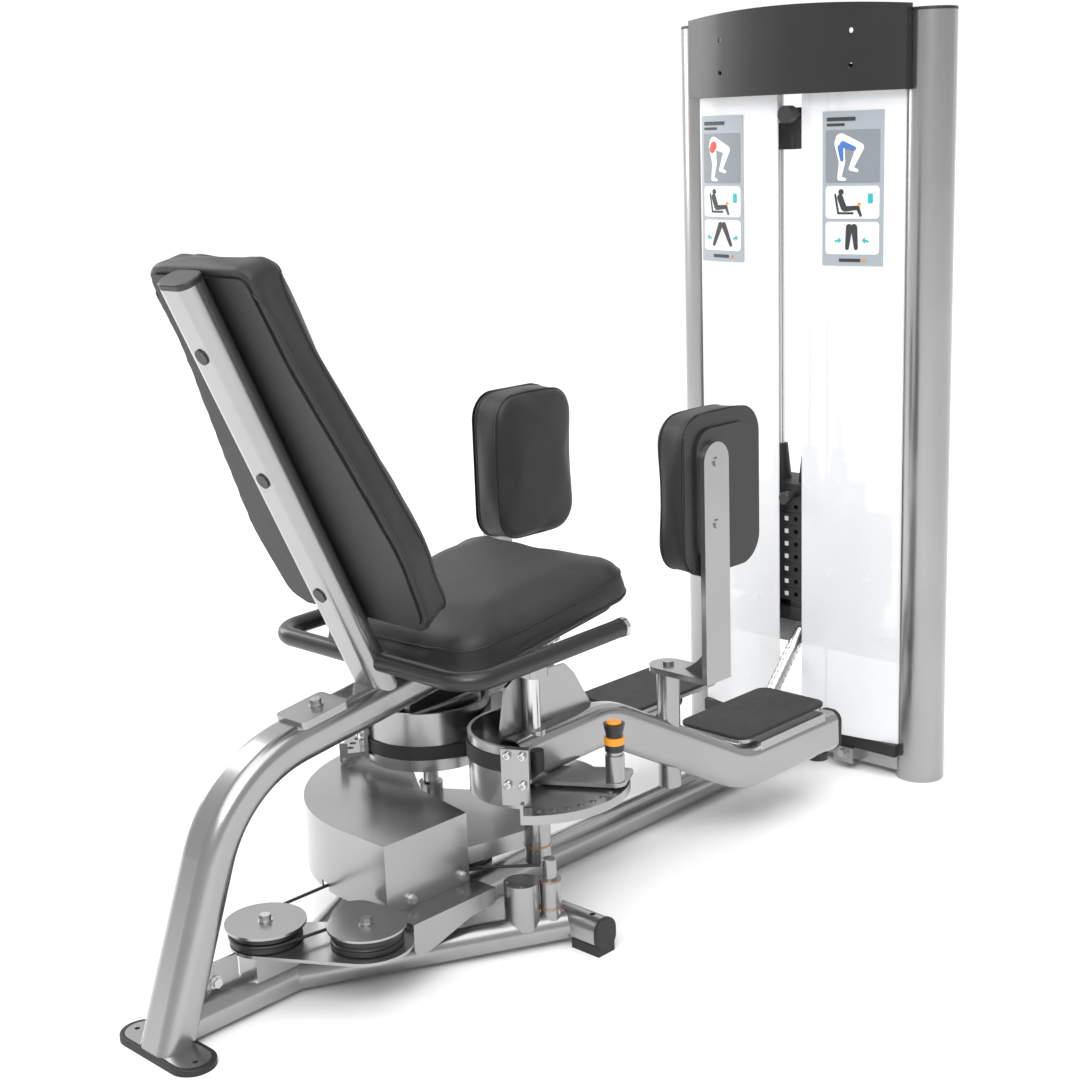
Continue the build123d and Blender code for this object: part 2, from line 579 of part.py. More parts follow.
def tower_strut():
    start, end = Vector(0, 1367, 55), Vector(0, 1566, 262)
    strut = bar(start, end, 12.5)
    step = (end - start).normalized() * 14
    for k in range(2, 19):
        strut += bar(start + step * k, start + step * (k + 0.5), 13.8)
    spine_core = bar((0, 1200, SPINE_Z), (0, 1500, SPINE_Z), SPINE_RADIUS)
    strut = strut - spine_core - box((-50, 50), (1562, 1600), (200, 300))
    return strut.solids().sort_by(SortBy.VOLUME)[-1]


def tower_dark_bars():
    kick = box((-238, 238), (1546, 1560), (46.3, 71)) - pillar_cores()
    kick -= bar((0, 1500, SPINE_Z), (0, 1600, SPINE_Z), SPINE_RADIUS)
    base = box((-150, 150), (1550, 1640), (285, 313)) - rod((ROD_X, STACK_Y), (280, 320), ROD_RADIUS)
    base -= rod((-ROD_X, STACK_Y), (280, 320), ROD_RADIUS)
    return kick.solids().sort_by(SortBy.VOLUME)[-1], base


def shroud_arc(x, outer, thickness, z):
    """A curved sheet following the tower's bowed front."""
    centre = (0, SHROUD_FRONT + SHROUD_RADIUS)
    curve = Pos(*centre) * (Circle(SHROUD_RADIUS + outer) - Circle(SHROUD_RADIUS + outer - thickness))
    strip = curve & Pos(sum(x) / 2, SHROUD_FRONT + 15) * Rectangle(x[1] - x[0], 120)
    return slab(strip, z)


def shrouds():
    return both(shroud_arc((28, 238), 0, 3, (72, 1345)))


def placards():
    return (shroud_arc((-232, -114), 1.6, 1.5, (1007, 1290)), shroud_arc((75, 198), 1.6, 1.5, (1007, 1290)))


def guide_rods():
    return both(rod((ROD_X, STACK_Y), (285, 1350), ROD_RADIUS))


def stack_cushions():
    cushion = rod((ROD_X, STACK_Y), (313, STACK_BOTTOM), 20) - rod((ROD_X, STACK_Y), (300, 340), ROD_RADIUS)
    return both(cushion)


def stack_plate(z):
    plate = box((-165, 165), (1548, 1647), (z, z + PLATE_THICKNESS))
    plate = fillet(plate.edges().filter_by(Axis.Z), 6)
    plate += rod((0, STACK_Y), (z, z + PLATE_PITCH), 30)
    plate -= rod((0, STACK_Y), (z - 1, z + 30), 14)
    plate -= rod((ROD_X, STACK_Y), (z - 1, z + 30), 10) + rod((-ROD_X, STACK_Y), (z - 1, z + 30), 10)
    return plate - bar((0, 1540, z + 12.7), (0, 1570, z + 12.7), 5.2)


def weight_plates():
    return [stack_plate(STACK_BOTTOM + k * PLATE_PITCH) for k in range(PLATE_COUNT)]


def stack_head():
    """Head plate with its selector stem, guide bushings and cable cone, all bored for rods and cable."""
    head = box((-105, 105), (1548, 1647), (HEAD_BOTTOM + 0.3, HEAD_TOP))
    head = fillet(head.edges().filter_by(Axis.Z), 8)
    head += rod((0, STACK_Y), (336, HEAD_TOP), 12)
    for x in (-ROD_X, 0, ROD_X):
        head += Pos(x, STACK_Y, 603) * Cone(22, 14, 74)
    for x in (-ROD_X, ROD_X):
        head -= rod((x, STACK_Y), (500, 650), ROD_RADIUS + RUNNING_GAP)
    head -= rod((0, STACK_Y), (330, 650), 3.4)
    head -= bar((0, 1540, 522), (0, 1560, 522), 5.2)
    return head - bar((0, 1540, 548), (0, 1589, 548), 5.0 + RUNNING_GAP)


def selector_pin():
    pin = bar((0, 1520, 548), (0, 1587, 548), 5.0)
    knob = bar((0, 1506, 548), (0, 1524, 548), 12.5)
    return pin + chamfer(knob.edges(), 2)


def increment_weight():
    """Half-step weight that slides on the left guide rod, with its hand knob in the slot."""
    body = box((-118, -14), (1562, 1626), (1222, 1272))
    body = fillet(body.edges().filter_by(Axis.Z), 8)
    link = box((-30, 12), (1562, 1580), (1255, 1300))
    knob = bar((0, 1532, 1288), (0, 1570, 1288), 8) + bar((0, 1512, 1288), (0, 1534, 1288), 16)
    return body + link + knob - rod((-ROD_X, STACK_Y), (1200, 1300), ROD_RADIUS + RUNNING_GAP)


def frame_bolts():
    saddle = Pos(0, 312, beam_centre(312) + 36.6) * Rot(8.3, 0, 0) * hex_bolt(9, 10)
    gusset = Pos(2.5, 89, 73) * Rot(0, 90, 0) * hex_bolt(8, 8)
    pulleys = [Pos(*REAR_PULLEY, 134) * hex_bolt(9, 10), Pos(*MIDDLE_PULLEY, 134) * hex_bolt(9, 10)]
    cover = [Pos(102, y, 125.5) * Rot(0, 90, 0) * hex_bolt(7, 9) for y in (391, 502)]
    base = Pos(123, 1538, 34) * Rot(90, 0, 0) * hex_bolt(9, 9)
    return [saddle, gusset, *pulleys, *cover, base, mirror(base, Plane.YZ)]


save("rear_leg_beam", rear_leg())
save("rear_foot_rubber", rear_foot_rubber())
save("spine_tube", spine())
save("outrigger_tubes", *both(outrigger()))
save("outrigger_feet", *both(outrigger_foot()))
save("backrest_post", backrest_post())
save("backrest_caps", *backrest_caps())
save("back_pad", back_pad())
save("seat_pad", seat_pad())
save("pad_boards", *pad_boards())
save("handle_bar", handle_bar())
save("handle_end_caps", *handle_end_caps())
save("pivot_bar", pivot_bar())
save("pivot_carrier", pivot_carrier())
save("pivot_shafts", *pivot_shafts())
save("bronze_rings", *bronze_rings())
save("anchor_posts", *anchor_posts())
save("cam_cover", cam_cover())
save("cover_tray", cover_tray())
save("pulley_plate", pulley_plate())
save("frame_bolts", *frame_bolts())
save("rear_pulley", pulley(REAR_PULLEY, 55, (105, 128)))
save("middle_pulley", pulley(MIDDLE_PULLEY, 55, (105, 128)))
save("post_pulley", pulley(CARRIER_PULLEYS[0], 35, (116, 137)))
save("front_pulley", pulley(CARRIER_PULLEYS[1], 35, (116, 137)))
save("crown_pulley", tower_pulley(CROWN_Z))
save("base_pulley", tower_pulley(BASE_Z))
save("floor_cables", *floor_cables())
save("tower_cable", tower_cable())
save("drum_belts", drum_belt(1, (302, 328)), drum_belt(-1, (263, 286)))
save("pillars", *pillars())
save("pillar_caps", *pillar_caps())
save("header", header())
save("tower_beams", *tower_beams())
save("tower_strut", tower_strut())
save("tower_dark_bars", *tower_dark_bars())
save("shrouds", *shrouds())
save("placards", *placards())
save("guide_rods", *guide_rods())
save("stack_cushions", *stack_cushions())
save("weight_plates", *weight_plates())
save("stack_head", stack_head())
save("selector_pin", selector_pin())
save("increment_weight", increment_weight())

SIDE_PIECES = {
    "drum": drum(),
    "drum_bumper": drum_bumper(),
    "arm": arm(),
    "foot_plate": foot_plate(),
    "arm_rubber": Compound([s for piece in arm_rubber() for s in piece.solids()]),
    "pop_pin": pop_pin(),
    "pad_bracket": pad_bracket(),
    "thigh_pad": Compound([s for piece in thigh_pad() for s in piece.solids()]),
}
for name, shape in SIDE_PIECES.items():
    save(f"right_{name}", shape)
    save(f"left_{name}", mirror(shape, Plane.YZ))
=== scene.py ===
import json

import bmesh
import bpy
from math import cos, pi, radians, sin, sqrt
from mathutils import Matrix, Vector


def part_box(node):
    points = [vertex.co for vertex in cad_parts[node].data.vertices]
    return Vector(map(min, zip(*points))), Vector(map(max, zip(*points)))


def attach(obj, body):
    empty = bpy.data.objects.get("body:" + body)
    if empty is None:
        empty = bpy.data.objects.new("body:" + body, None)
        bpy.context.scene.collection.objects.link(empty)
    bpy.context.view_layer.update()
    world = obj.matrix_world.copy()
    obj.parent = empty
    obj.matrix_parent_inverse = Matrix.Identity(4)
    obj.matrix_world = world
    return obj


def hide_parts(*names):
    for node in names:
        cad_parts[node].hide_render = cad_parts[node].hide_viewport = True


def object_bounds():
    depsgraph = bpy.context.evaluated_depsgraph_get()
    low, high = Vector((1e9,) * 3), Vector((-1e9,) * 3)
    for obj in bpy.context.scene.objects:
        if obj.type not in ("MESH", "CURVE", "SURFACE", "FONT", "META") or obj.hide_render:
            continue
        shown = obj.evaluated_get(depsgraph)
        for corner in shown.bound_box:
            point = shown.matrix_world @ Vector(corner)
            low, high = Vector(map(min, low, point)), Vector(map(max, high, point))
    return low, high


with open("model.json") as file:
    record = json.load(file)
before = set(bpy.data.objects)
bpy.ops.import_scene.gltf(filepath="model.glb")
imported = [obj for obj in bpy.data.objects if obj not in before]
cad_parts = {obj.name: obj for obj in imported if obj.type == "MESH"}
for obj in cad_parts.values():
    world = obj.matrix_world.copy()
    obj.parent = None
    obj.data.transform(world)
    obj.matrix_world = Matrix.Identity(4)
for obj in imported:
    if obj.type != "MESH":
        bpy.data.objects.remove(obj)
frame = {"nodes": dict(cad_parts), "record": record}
cad_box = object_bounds()
nodes = frame["nodes"]
record = frame["record"]

# The frame's Y zero is the middle of the machine; drawings start at the rear foot.
FOOT_Y = -0.81115

# Sizes in millimetres and angles in degrees, as the CAD has them.
SEAT_TILT, BACK_LEAN = 8.3, 24.9
# Half the back pad's width at each distance up its slope.
BACK_OUTLINE = ((166, 95), (184, 240), (158, 402), (130, 560), (124, 710))
THIGH_BOARD_X = 246.1
PIVOT = (128, 649)
CLAMP_TURN = -61
PLACARD_RADIUS, PLACARD_CENTRE_Y, PLACARD_TOP = 1013.6, 2540.4, 1290
ABDUCTION_PLACARD, ADDUCTION_PLACARD = (-232, -114), (75, 198)
PLATE_FRONT_Y, PLATE_BOTTOM, PLATE_PITCH, PLATE_COUNT = 1548, 328.0, 26.07, 7
SIDES = (("right", 1), ("left", -1))


def at(x, y, z):
    """A point given in millimetres from the rear foot, in the frame's metres."""
    return Vector((x / 1000, y / 1000 + FOOT_Y, z / 1000))


def link(name, mesh):
    piece = bpy.data.objects.new(name, mesh)
    bpy.context.scene.collection.objects.link(piece)
    return piece


# ---- materials -------------------------------------------------------------------------------

def surface(name, dark, light, rough, metallic=0.0, grain=60.0, bump=0.0, depth=0.0002, cells=False, coat=0.0,
            stretch=(1, 1, 1), sheen=0.0, alpha=1.0, fine=None):
    """A procedural finish: mottled colour, uneven gloss and a fine relief."""
    material = bpy.data.materials.new(name)
    material.use_nodes = True
    tree = material.node_tree
    shade = tree.nodes["Principled BSDF"]
    shade.inputs["Metallic"].default_value = metallic
    shade.inputs["Coat Weight"].default_value = coat
    shade.inputs["Coat Roughness"].default_value = 0.12
    shade.inputs["Sheen Weight"].default_value = sheen
    shade.inputs["Alpha"].default_value = alpha
    place = tree.nodes.new("ShaderNodeTexCoord")
    mapping = tree.nodes.new("ShaderNodeMapping")
    mapping.inputs["Scale"].default_value = stretch
    tree.links.new(place.outputs["Object"], mapping.inputs["Vector"])

    broad = tree.nodes.new("ShaderNodeTexNoise")
    broad.inputs["Scale"].default_value = grain * 0.12
    broad.inputs["Detail"].default_value = 5
    tree.links.new(mapping.outputs["Vector"], broad.inputs["Vector"])
    tint = tree.nodes.new("ShaderNodeValToRGB")
    tint.color_ramp.elements[0].position = 0.3
    tint.color_ramp.elements[0].color = (*dark, 1)
    tint.color_ramp.elements[1].position = 0.7
    tint.color_ramp.elements[1].color = (*light, 1)
    tree.links.new(broad.outputs["Fac"], tint.inputs["Fac"])
    tree.links.new(tint.outputs["Color"], shade.inputs["Base Color"])

    close = tree.nodes.new("ShaderNodeTexNoise")
    close.inputs["Scale"].default_value = grain
    close.inputs["Detail"].default_value = 6
    tree.links.new(mapping.outputs["Vector"], close.inputs["Vector"])
    gloss = tree.nodes.new("ShaderNodeMapRange")
    gloss.inputs["To Min"].default_value = rough[0]
    gloss.inputs["To Max"].default_value = rough[1]
    tree.links.new(close.outputs["Fac"], gloss.inputs["Value"])
    tree.links.new(gloss.outputs["Result"], shade.inputs["Roughness"])

    if bump:
        relief = tree.nodes.new("ShaderNodeBump")
        relief.inputs["Strength"].default_value = bump
        relief.inputs["Distance"].default_value = depth
        if cells:
            grains = tree.nodes.new("ShaderNodeTexVoronoi")
            grains.feature = "DISTANCE_TO_EDGE"
            grains.inputs["Scale"].default_value = fine or grain * 12
            tree.links.new(mapping.outputs["Vector"], grains.inputs["Vector"])
            soften = tree.nodes.new("ShaderNodeMapRange")
            soften.inputs["From Max"].default_value = 0.25
            tree.links.new(grains.outputs["Distance"], soften.inputs["Value"])
            tree.links.new(soften.outputs["Result"], relief.inputs["Height"])
        else:
            grains = tree.nodes.new("ShaderNodeTexNoise")
            grains.inputs["Scale"].default_value = fine or grain * 12
            grains.inputs["Detail"].default_value = 3
            tree.links.new(mapping.outputs["Vector"], grains.inputs["Vector"])
            tree.links.new(grains.outputs["Fac"], relief.inputs["Height"])
        tree.links.new(relief.outputs["Normal"], shade.inputs["Normal"])
    return material


silver = surface("silver_enamel", (0.33, 0.33, 0.327), (0.365, 0.365, 0.361), (0.23, 0.28),
                 metallic=0.93, grain=40, bump=0.04, depth=0.0001, coat=0.35, fine=900)
charcoal = surface("charcoal_enamel", (0.008, 0.008, 0.0082), (0.012, 0.012, 0.0122), (0.34, 0.44),
                   grain=30, bump=0.25, depth=0.0002, coat=0.15, fine=500)
iron = surface("black_iron", (0.012, 0.012, 0.013), (0.022, 0.022, 0.024), (0.42, 0.58),
               grain=60, bump=0.4, depth=0.0003, fine=420)
vinyl = surface("upholstery_vinyl", (0.0085, 0.0081, 0.0076), (0.0125, 0.0119, 0.0112), (0.44, 0.56),
                grain=26, bump=0.35, depth=0.00035, cells=True, fine=620, sheen=0.06)
piping_vinyl = surface("piping_vinyl", (0.0085, 0.0083, 0.008), (0.012, 0.0115, 0.011), (0.42, 0.52),
                       grain=60, bump=0.2, depth=0.0002, cells=True, fine=900)
rubber = surface("black_rubber", (0.010, 0.010, 0.0105), (0.019, 0.019, 0.0195), (0.5, 0.68),
                 grain=50, bump=0.35, depth=0.0003, fine=600)
tread = surface("tread_rubber", (0.012, 0.012, 0.0125), (0.021, 0.021, 0.0215), (0.55, 0.72),
                grain=50, bump=0.6, depth=0.0006, cells=True, fine=330)
plastic = surface("black_plastic", (0.013, 0.013, 0.014), (0.02, 0.02, 0.021), (0.36, 0.48),
                  grain=70, bump=0.25, depth=0.00015, fine=800)
steel = surface("bright_steel", (0.50, 0.50, 0.50), (0.66, 0.66, 0.66), (0.16, 0.30),
                metallic=1.0, grain=90, bump=0.15, depth=0.0001, stretch=(1, 1, 0.15), fine=700)
bronze = surface("bush_bronze", (0.36, 0.24, 0.18), (0.46, 0.31, 0.235), (0.28, 0.42),
                 metallic=0.9, grain=80, bump=0.15, depth=0.0001)
frosted = surface("frosted_sheet", (0.86, 0.87, 0.88), (0.91, 0.92, 0.93), (0.22, 0.30),
                  grain=20, bump=0.05, depth=0.0001, coat=0.4, alpha=0.70)
orange = surface("orange_plastic", (0.80, 0.27, 0.010), (0.90, 0.34, 0.015), (0.34, 0.44),
                 grain=60, bump=0.15, depth=0.00015, fine=700)


def ink(name, dark, light, rough=(0.36, 0.42)):
    """A printed colour."""
    return surface(name, dark, light, rough, grain=30, bump=0.05)


print_grey = ink("print_grey", (0.34, 0.38, 0.41), (0.37, 0.41, 0.44))
print_slate = ink("print_slate", (0.22, 0.245, 0.265), (0.24, 0.265, 0.285))
print_white = ink("print_white", (0.74, 0.76, 0.77), (0.80, 0.82, 0.83))
print_light = ink("print_light", (0.84, 0.85, 0.86), (0.88, 0.89, 0.90))
print_dark = ink("print_dark", (0.03, 0.033, 0.036), (0.04, 0.043, 0.046), rough=(0.4, 0.46))
print_teal = ink("print_teal", (0.02, 0.42, 0.42), (0.03, 0.47, 0.47))
print_red = ink("print_red", (0.62, 0.05, 0.04), (0.68, 0.07, 0.05))
print_blue = ink("print_blue", (0.05, 0.16, 0.45), (0.07, 0.19, 0.50))

FINISH = {
    "frame_paint": silver,
    "dark_paint": charcoal,
    "stack_black": iron,
    "upholstery": vinyl,
    "black_rubber": rubber,
    "black_plastic": plastic,
    "bright_steel": steel,
    "bronze": bronze,
    "frosted_sheet": frosted,
    "placard": print_grey,
}


def finish_cad_nodes():
    """Each carried-over CAD part takes the finish of its material slot."""
    for part in record["subparts"]:
        node = nodes[part["node"]]
        for slot in node.material_slots:
            slot.material = FINISH[part["material_slot"]]


# ---- soft parts ------------------------------------------------------------------------------

def settle(piece):
    """Replace the piece's mesh by what its modifiers make of it."""
    deps = bpy.context.evaluated_depsgraph_get()
    mesh = bpy.data.meshes.new_from_object(piece.evaluated_get(deps))
    piece.modifiers.clear()
    piece.data = mesh


def part_of(node, keep):
    """A copy of a node's mesh, keeping the vertices that a test passes."""
    mesh = nodes[node].data.copy()
    cut = bmesh.new()
    cut.from_mesh(mesh)
    bmesh.ops.delete(cut, geom=[v for v in cut.verts if not keep(v.co)], context="VERTS")
    bmesh.ops.remove_doubles(cut, verts=cut.verts, dist=1e-6)
    cut.to_mesh(mesh)
    cut.free()
    return mesh


def cushion(name, mesh, body, back, inward, cap, voxel=0.006):
    """A stuffed pad: its back stays on the board, and the rest swells under pressure.

    back is how deep the held part is, inward points from the board into the pad, and cap is the
    furthest that a point may move from the CAD solid.
    """
    piece = link(name, mesh)
    remesh = piece.modifiers.new("remesh", "REMESH")
    remesh.mode = "VOXEL"
    remesh.voxel_size = voxel
    ease = piece.modifiers.new("ease", "SMOOTH")
    ease.factor = 0.5
    ease.iterations = 6
    settle(piece)
    away = Vector(inward)
    rest = [v.co.copy() for v in piece.data.vertices]
    low = min(p.dot(away) for p in rest)
    hold = piece.vertex_groups.new(name="hold")
    hold.add([i for i, p in enumerate(rest) if p.dot(away) - low < back], 1.0, "REPLACE")
    normals = [v.normal.copy() for v in piece.data.vertices]
    for v, n in zip(piece.data.vertices, normals):
        free = min(1.0, max(0.0, (v.co.dot(away) - low - back) / 0.02))
        v.co -= n * cap * 0.4 * free
    cloth = piece.modifiers.new("cloth", "CLOTH")
    settings = cloth.settings
    settings.quality = 4
    settings.mass = 0.3
    settings.tension_stiffness = 20
    settings.compression_stiffness = 20
    settings.shear_stiffness = 10
    settings.bending_stiffness = 8.0
    settings.use_pressure = True
    settings.uniform_pressure_force = 3.5
    settings.effector_weights.gravity = 0
    settings.vertex_group_mass = "hold"
    cloth.point_cache.frame_start = 1
    cloth.point_cache.frame_end = 20
    for step in range(1, 21):
        bpy.context.scene.frame_set(step)
    settle(piece)
    bpy.context.scene.frame_set(1)
    for v, start in zip(piece.data.vertices, rest):
        move = v.co - start
        if move.length > cap:
            v.co = start + move * (cap / move.length)
    smooth = piece.modifiers.new("smooth", "SMOOTH")
    smooth.factor = 0.5
    smooth.iterations = 24
    finer = piece.modifiers.new("finer", "SUBSURF")
    finer.levels = 1
    finer.render_levels = 1
    settle(piece)
    for polygon in piece.data.polygons:
        polygon.use_smooth = True
    piece.data.materials.clear()
    piece.data.materials.append(vinyl)
    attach(piece, body)
    return piece


def cord_ring(name, points, radius, material, body):
    """A closed round cord through points."""
    curve = bpy.data.curves.new(name, "CURVE")
    curve.dimensions = "3D"
    spline = curve.splines.new("POLY")
    spline.points.add(len(points) - 1)
    for point, place in zip(spline.points, points):
        point.co = (*place, 1)
    spline.use_cyclic_u = True
    curve.bevel_depth = radius
    curve.bevel_resolution = 3
    piece = bpy.data.objects.new(name, curve)
    bpy.context.scene.collection.objects.link(piece)
    curve.materials.append(material)
    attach(piece, body)


def seam(name, pad, loop, radius, body):
    """Piping laid on a pad's surface along a loop of nearby points."""
    places = []
    for point in loop:
        _, spot, normal, _ = pad.closest_point_on_mesh(point)
        places.append(spot + normal * radius * 0.25)
    cord_ring(name, places, radius, piping_vinyl, body)


def rounded_loop(width, height, radius, steps=14):
    """Points round a rectangle with rounded corners, in its own plane."""
    loop = []
    for k, (sx, sy) in enumerate(((1, 1), (-1, 1), (-1, -1), (1, -1))):
        cx, cy = sx * (width / 2 - radius), sy * (height / 2 - radius)
        for step in range(steps + 1):
            angle = pi / 2 * (k + step / steps)
            loop.append((cx + radius * cos(angle), cy + radius * sin(angle)))
    dense = []
    for a, b in zip(loop, loop[1:] + loop[:1]):
        gap = sqrt((a[0] - b[0]) ** 2 + (a[1] - b[1]) ** 2)
        count = max(1, int(gap / 8))
        dense += [(a[0] + (b[0] - a[0]) * i / count, a[1] + (b[1] - a[1]) * i / count) for i in range(count)]
    return dense


def seat_cushion():
    tilt = radians(SEAT_TILT)
    up = Vector((0, -sin(tilt), cos(tilt)))
    along = Vector((0, cos(tilt), sin(tilt)))
    seat = cushion("seat_cushion", nodes["seat_pad"].data.copy(), "frame", 0.012, up, 0.011)
    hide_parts("seat_pad")
    centre = at(0, 650, 560.3)
    for name, rise in (("seat_piping", -0.012), ("seat_lower_piping", -0.054)):
        loop = [centre + Vector((x / 1000, 0, 0)) + along * (y / 1000) + up * rise
                for x, y in rounded_loop(396, 416, 70)]
        seam(name, seat, loop, 0.0019, "frame")


def back_cushion():
    lean = radians(BACK_LEAN)
    normal = Vector((0, cos(lean), sin(lean)))
    up = Vector((0, -sin(lean), cos(lean)))
    pad = cushion("back_cushion", nodes["back_pad"].data.copy(), "frame", 0.011, normal, 0.011)
    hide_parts("back_pad")
    origin = at(0, 455.5, 450)
    corners = [Vector((x, s)) for x, s in BACK_OUTLINE]
    corners += [Vector((-x, s)) for x, s in reversed(BACK_OUTLINE)]
    outline = []
    for a, b in zip(corners, corners[1:] + corners[:1]):
        count = max(2, int((b - a).length / 8))
        outline += [a.lerp(b, i / count) for i in range(count)]
    for _ in range(60):
        ahead = outline[1:] + outline[:1]
        behind = outline[-1:] + outline[:-1]
        outline = [(a + b * 2 + c) / 4 for a, b, c in zip(behind, outline, ahead)]
    for name, lift in (("back_piping", 0.055), ("back_rear_piping", 0.006)):
        loop = [origin + Vector((1.03 * p.x / 1000, 0, 0)) + up * (p.y / 1000) + normal * lift
                for p in outline]
        seam(name, pad, loop, 0.0019, "frame")


def thigh_cushions():
    for side, sign in SIDES:
        node, body = f"{side}_thigh_pad", f"{side}_pad_body"
        low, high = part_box(node)
        split = THIGH_BOARD_X / 1000
        mesh = part_of(node, lambda p: abs(p.x) < split)
        pad = cushion(f"{side}_thigh_cushion", mesh, body, 0.010, (-sign, 0, 0), 0.007, voxel=0.005)
        board = link(f"{side}_pad_board", part_of(node, lambda p: abs(p.x) > split - 0.0002))
        board.data.materials.clear()
        board.data.materials.append(plastic)
        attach(board, body)
        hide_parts(node)
        middle = (Vector(low) + Vector(high)) / 2
        for name, x in ((f"{side}_thigh_piping", 187), (f"{side}_thigh_rear_piping", 240)):
            loop = [Vector((sign * x / 1000, middle.y + y / 1000, middle.z + z / 1000))
                    for y, z in rounded_loop(210, 282, 54)]
            seam(name, pad, loop, 0.0017, body)


# ---- hard details ----------------------------------------------------------------------------

def lathe(name, profile, place, axis, material, body, segments=40):
    """A turned piece: a profile of (radius, height) pairs spun about an axis through a place."""
    shape = bmesh.new()
    turns = [2 * pi * k / segments for k in range(segments)]
    rings = [[shape.verts.new((radius * cos(turn), radius * sin(turn), height)) for turn in turns]
             for radius, height in profile]
    for lower, upper in zip(rings, rings[1:]):
        for k in range(segments):
            nxt = (k + 1) % segments
            shape.faces.new((lower[k], lower[nxt], upper[nxt], upper[k]))
    shape.faces.new(list(reversed(rings[0])))
    shape.faces.new(rings[-1])
    upright = Vector((0, 0, 1)).rotation_difference(Vector(axis)).to_matrix().to_4x4()
    shape.transform(Matrix.Translation(place) @ upright)
    mesh = bpy.data.meshes.new(name)
    shape.to_mesh(mesh)
    shape.free()
    piece = link(name, mesh)
    mesh.materials.append(material)
    mesh.polygons.foreach_set("use_smooth", [True] * len(mesh.polygons))
    mesh.set_sharp_from_angle(angle=radians(35))
    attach(piece, body)


def cap_screw(name, place, axis, radius, height, body):
    """A socket-headed screw with a rounded edge and a sunk socket."""
    r, h = radius / 1000, height / 1000
    profile = [(r, 0), (r, h * 0.8), (r * 0.93, h * 0.95), (r * 0.84, h), (r * 0.5, h), (r * 0.47, h * 0.94),
               (r * 0.47, h * 0.45), (0.0002, h * 0.4)]
    lathe(name, profile, place, axis, steel, body, segments=28)


def clamp_screws():
    """Four bright screws through each belt clamp."""
    for side, sign in SIDES:
        turn = radians(CLAMP_TURN)
        out = Vector((sign * cos(turn), sin(turn), 0))
        across = Vector((-sign * sin(turn), cos(turn), 0))
        pivot = at(sign * PIVOT[0], PIVOT[1], 0)
        count = 0
        for step in (-12, 12):
            for height in (286, 334):
                count += 1
                place = pivot + out * 0.1165 + across * (step / 1000)
                place.z += height / 1000
                cap_screw(f"{side}_clamp_screw_{count}", place, out, 6.4, 7.5, f"{side}_drum_body")


def pop_pin_rings():
    """Orange band and orange button of each pop-pin's pull knob."""
    band = [(0.0150, 0), (0.0162, 0.0008), (0.0164, 0.006), (0.0162, 0.0118), (0.0150, 0.0126)]
    button = [(0.0105, 0), (0.0122, 0.0004), (0.0124, 0.0026), (0.0112, 0.0040), (0.0070, 0.0046),
              (0.0002, 0.0048)]
    for side, _ in SIDES:
        low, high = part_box(f"{side}_pop_pin")
        centre = (Vector(low) + Vector(high)) / 2
        for part, profile, height in (("band", band, 0.3235), ("button", button, 0.358)):
            place = Vector((centre.x, centre.y, height))
            lathe(f"{side}_pin_{part}", profile, place, (0, 0, 1), orange, f"{side}_pin_body")


# ---- printed placards ------------------------------------------------------------------------

def disc(x, z, radius, steps=16):
    """A round spot, as an outline."""
    turns = [2 * pi * k / steps for k in range(steps)]
    return [(x + radius * cos(turn), z + radius * sin(turn)) for turn in turns]


def limb(start, end, first, last, steps=7):
    """A tapering stroke with round ends, as an outline."""
    lean = Vector((end[0] - start[0], end[1] - start[1])).angle_signed(Vector((1, 0)))
    points = []
    for (x, z), radius, turn in ((end, last, lean - pi / 2), (start, first, lean + pi / 2)):
        points += [(x + radius * cos(turn + pi * k / steps), z + radius * sin(turn + pi * k / steps))
                   for k in range(steps + 1)]
    return points


def panel(x, z, radius):
    """A rectangle with rounded corners, given by its two spans."""
    points = []
    for k, (cx, cz) in enumerate(((x[1], z[1]), (x[0], z[1]), (x[0], z[0]), (x[1], z[0]))):
        cx += -radius if cx == x[1] else radius
        cz += -radius if cz == z[1] else radius
        turns = [pi / 2 * (k + i / 4) for i in range(5)]
        points += [(cx + radius * cos(turn), cz + radius * sin(turn)) for turn in turns]
    return points


def decal(name, outlines, lift, material, flat=None):
    """Thin print laid on the curved placards, or on an upright plane when flat gives its depth."""
    strip = 12
    shape = bmesh.new()
    for outline in outlines:
        shape.faces.new([shape.verts.new((x, 0, z)) for x, z in outline])
    low = int(min(v.co.x for v in shape.verts) // strip) + 1
    high = int(max(v.co.x for v in shape.verts) // strip) + 1
    for k in range(low, high):
        geometry = shape.verts[:] + shape.edges[:] + shape.faces[:]
        bmesh.ops.bisect_plane(shape, geom=geometry, plane_co=(k * strip, 0, 0), plane_no=(1, 0, 0))
    radius = PLACARD_RADIUS + lift
    for v in shape.verts:
        depth = flat - lift if flat else PLACARD_CENTRE_Y - sqrt(radius * radius - v.co.x ** 2)
        v.co = at(v.co.x, depth, v.co.z)
    mesh = bpy.data.meshes.new(name)
    shape.to_mesh(mesh)
    shape.free()
    piece = link(name, mesh)
    thick = piece.modifiers.new("thick", "SOLIDIFY")
    thick.thickness = 0.0005
    thick.offset = 0
    settle(piece)
    piece.data.materials.clear()
    piece.data.materials.append(material)
    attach(piece, "frame")


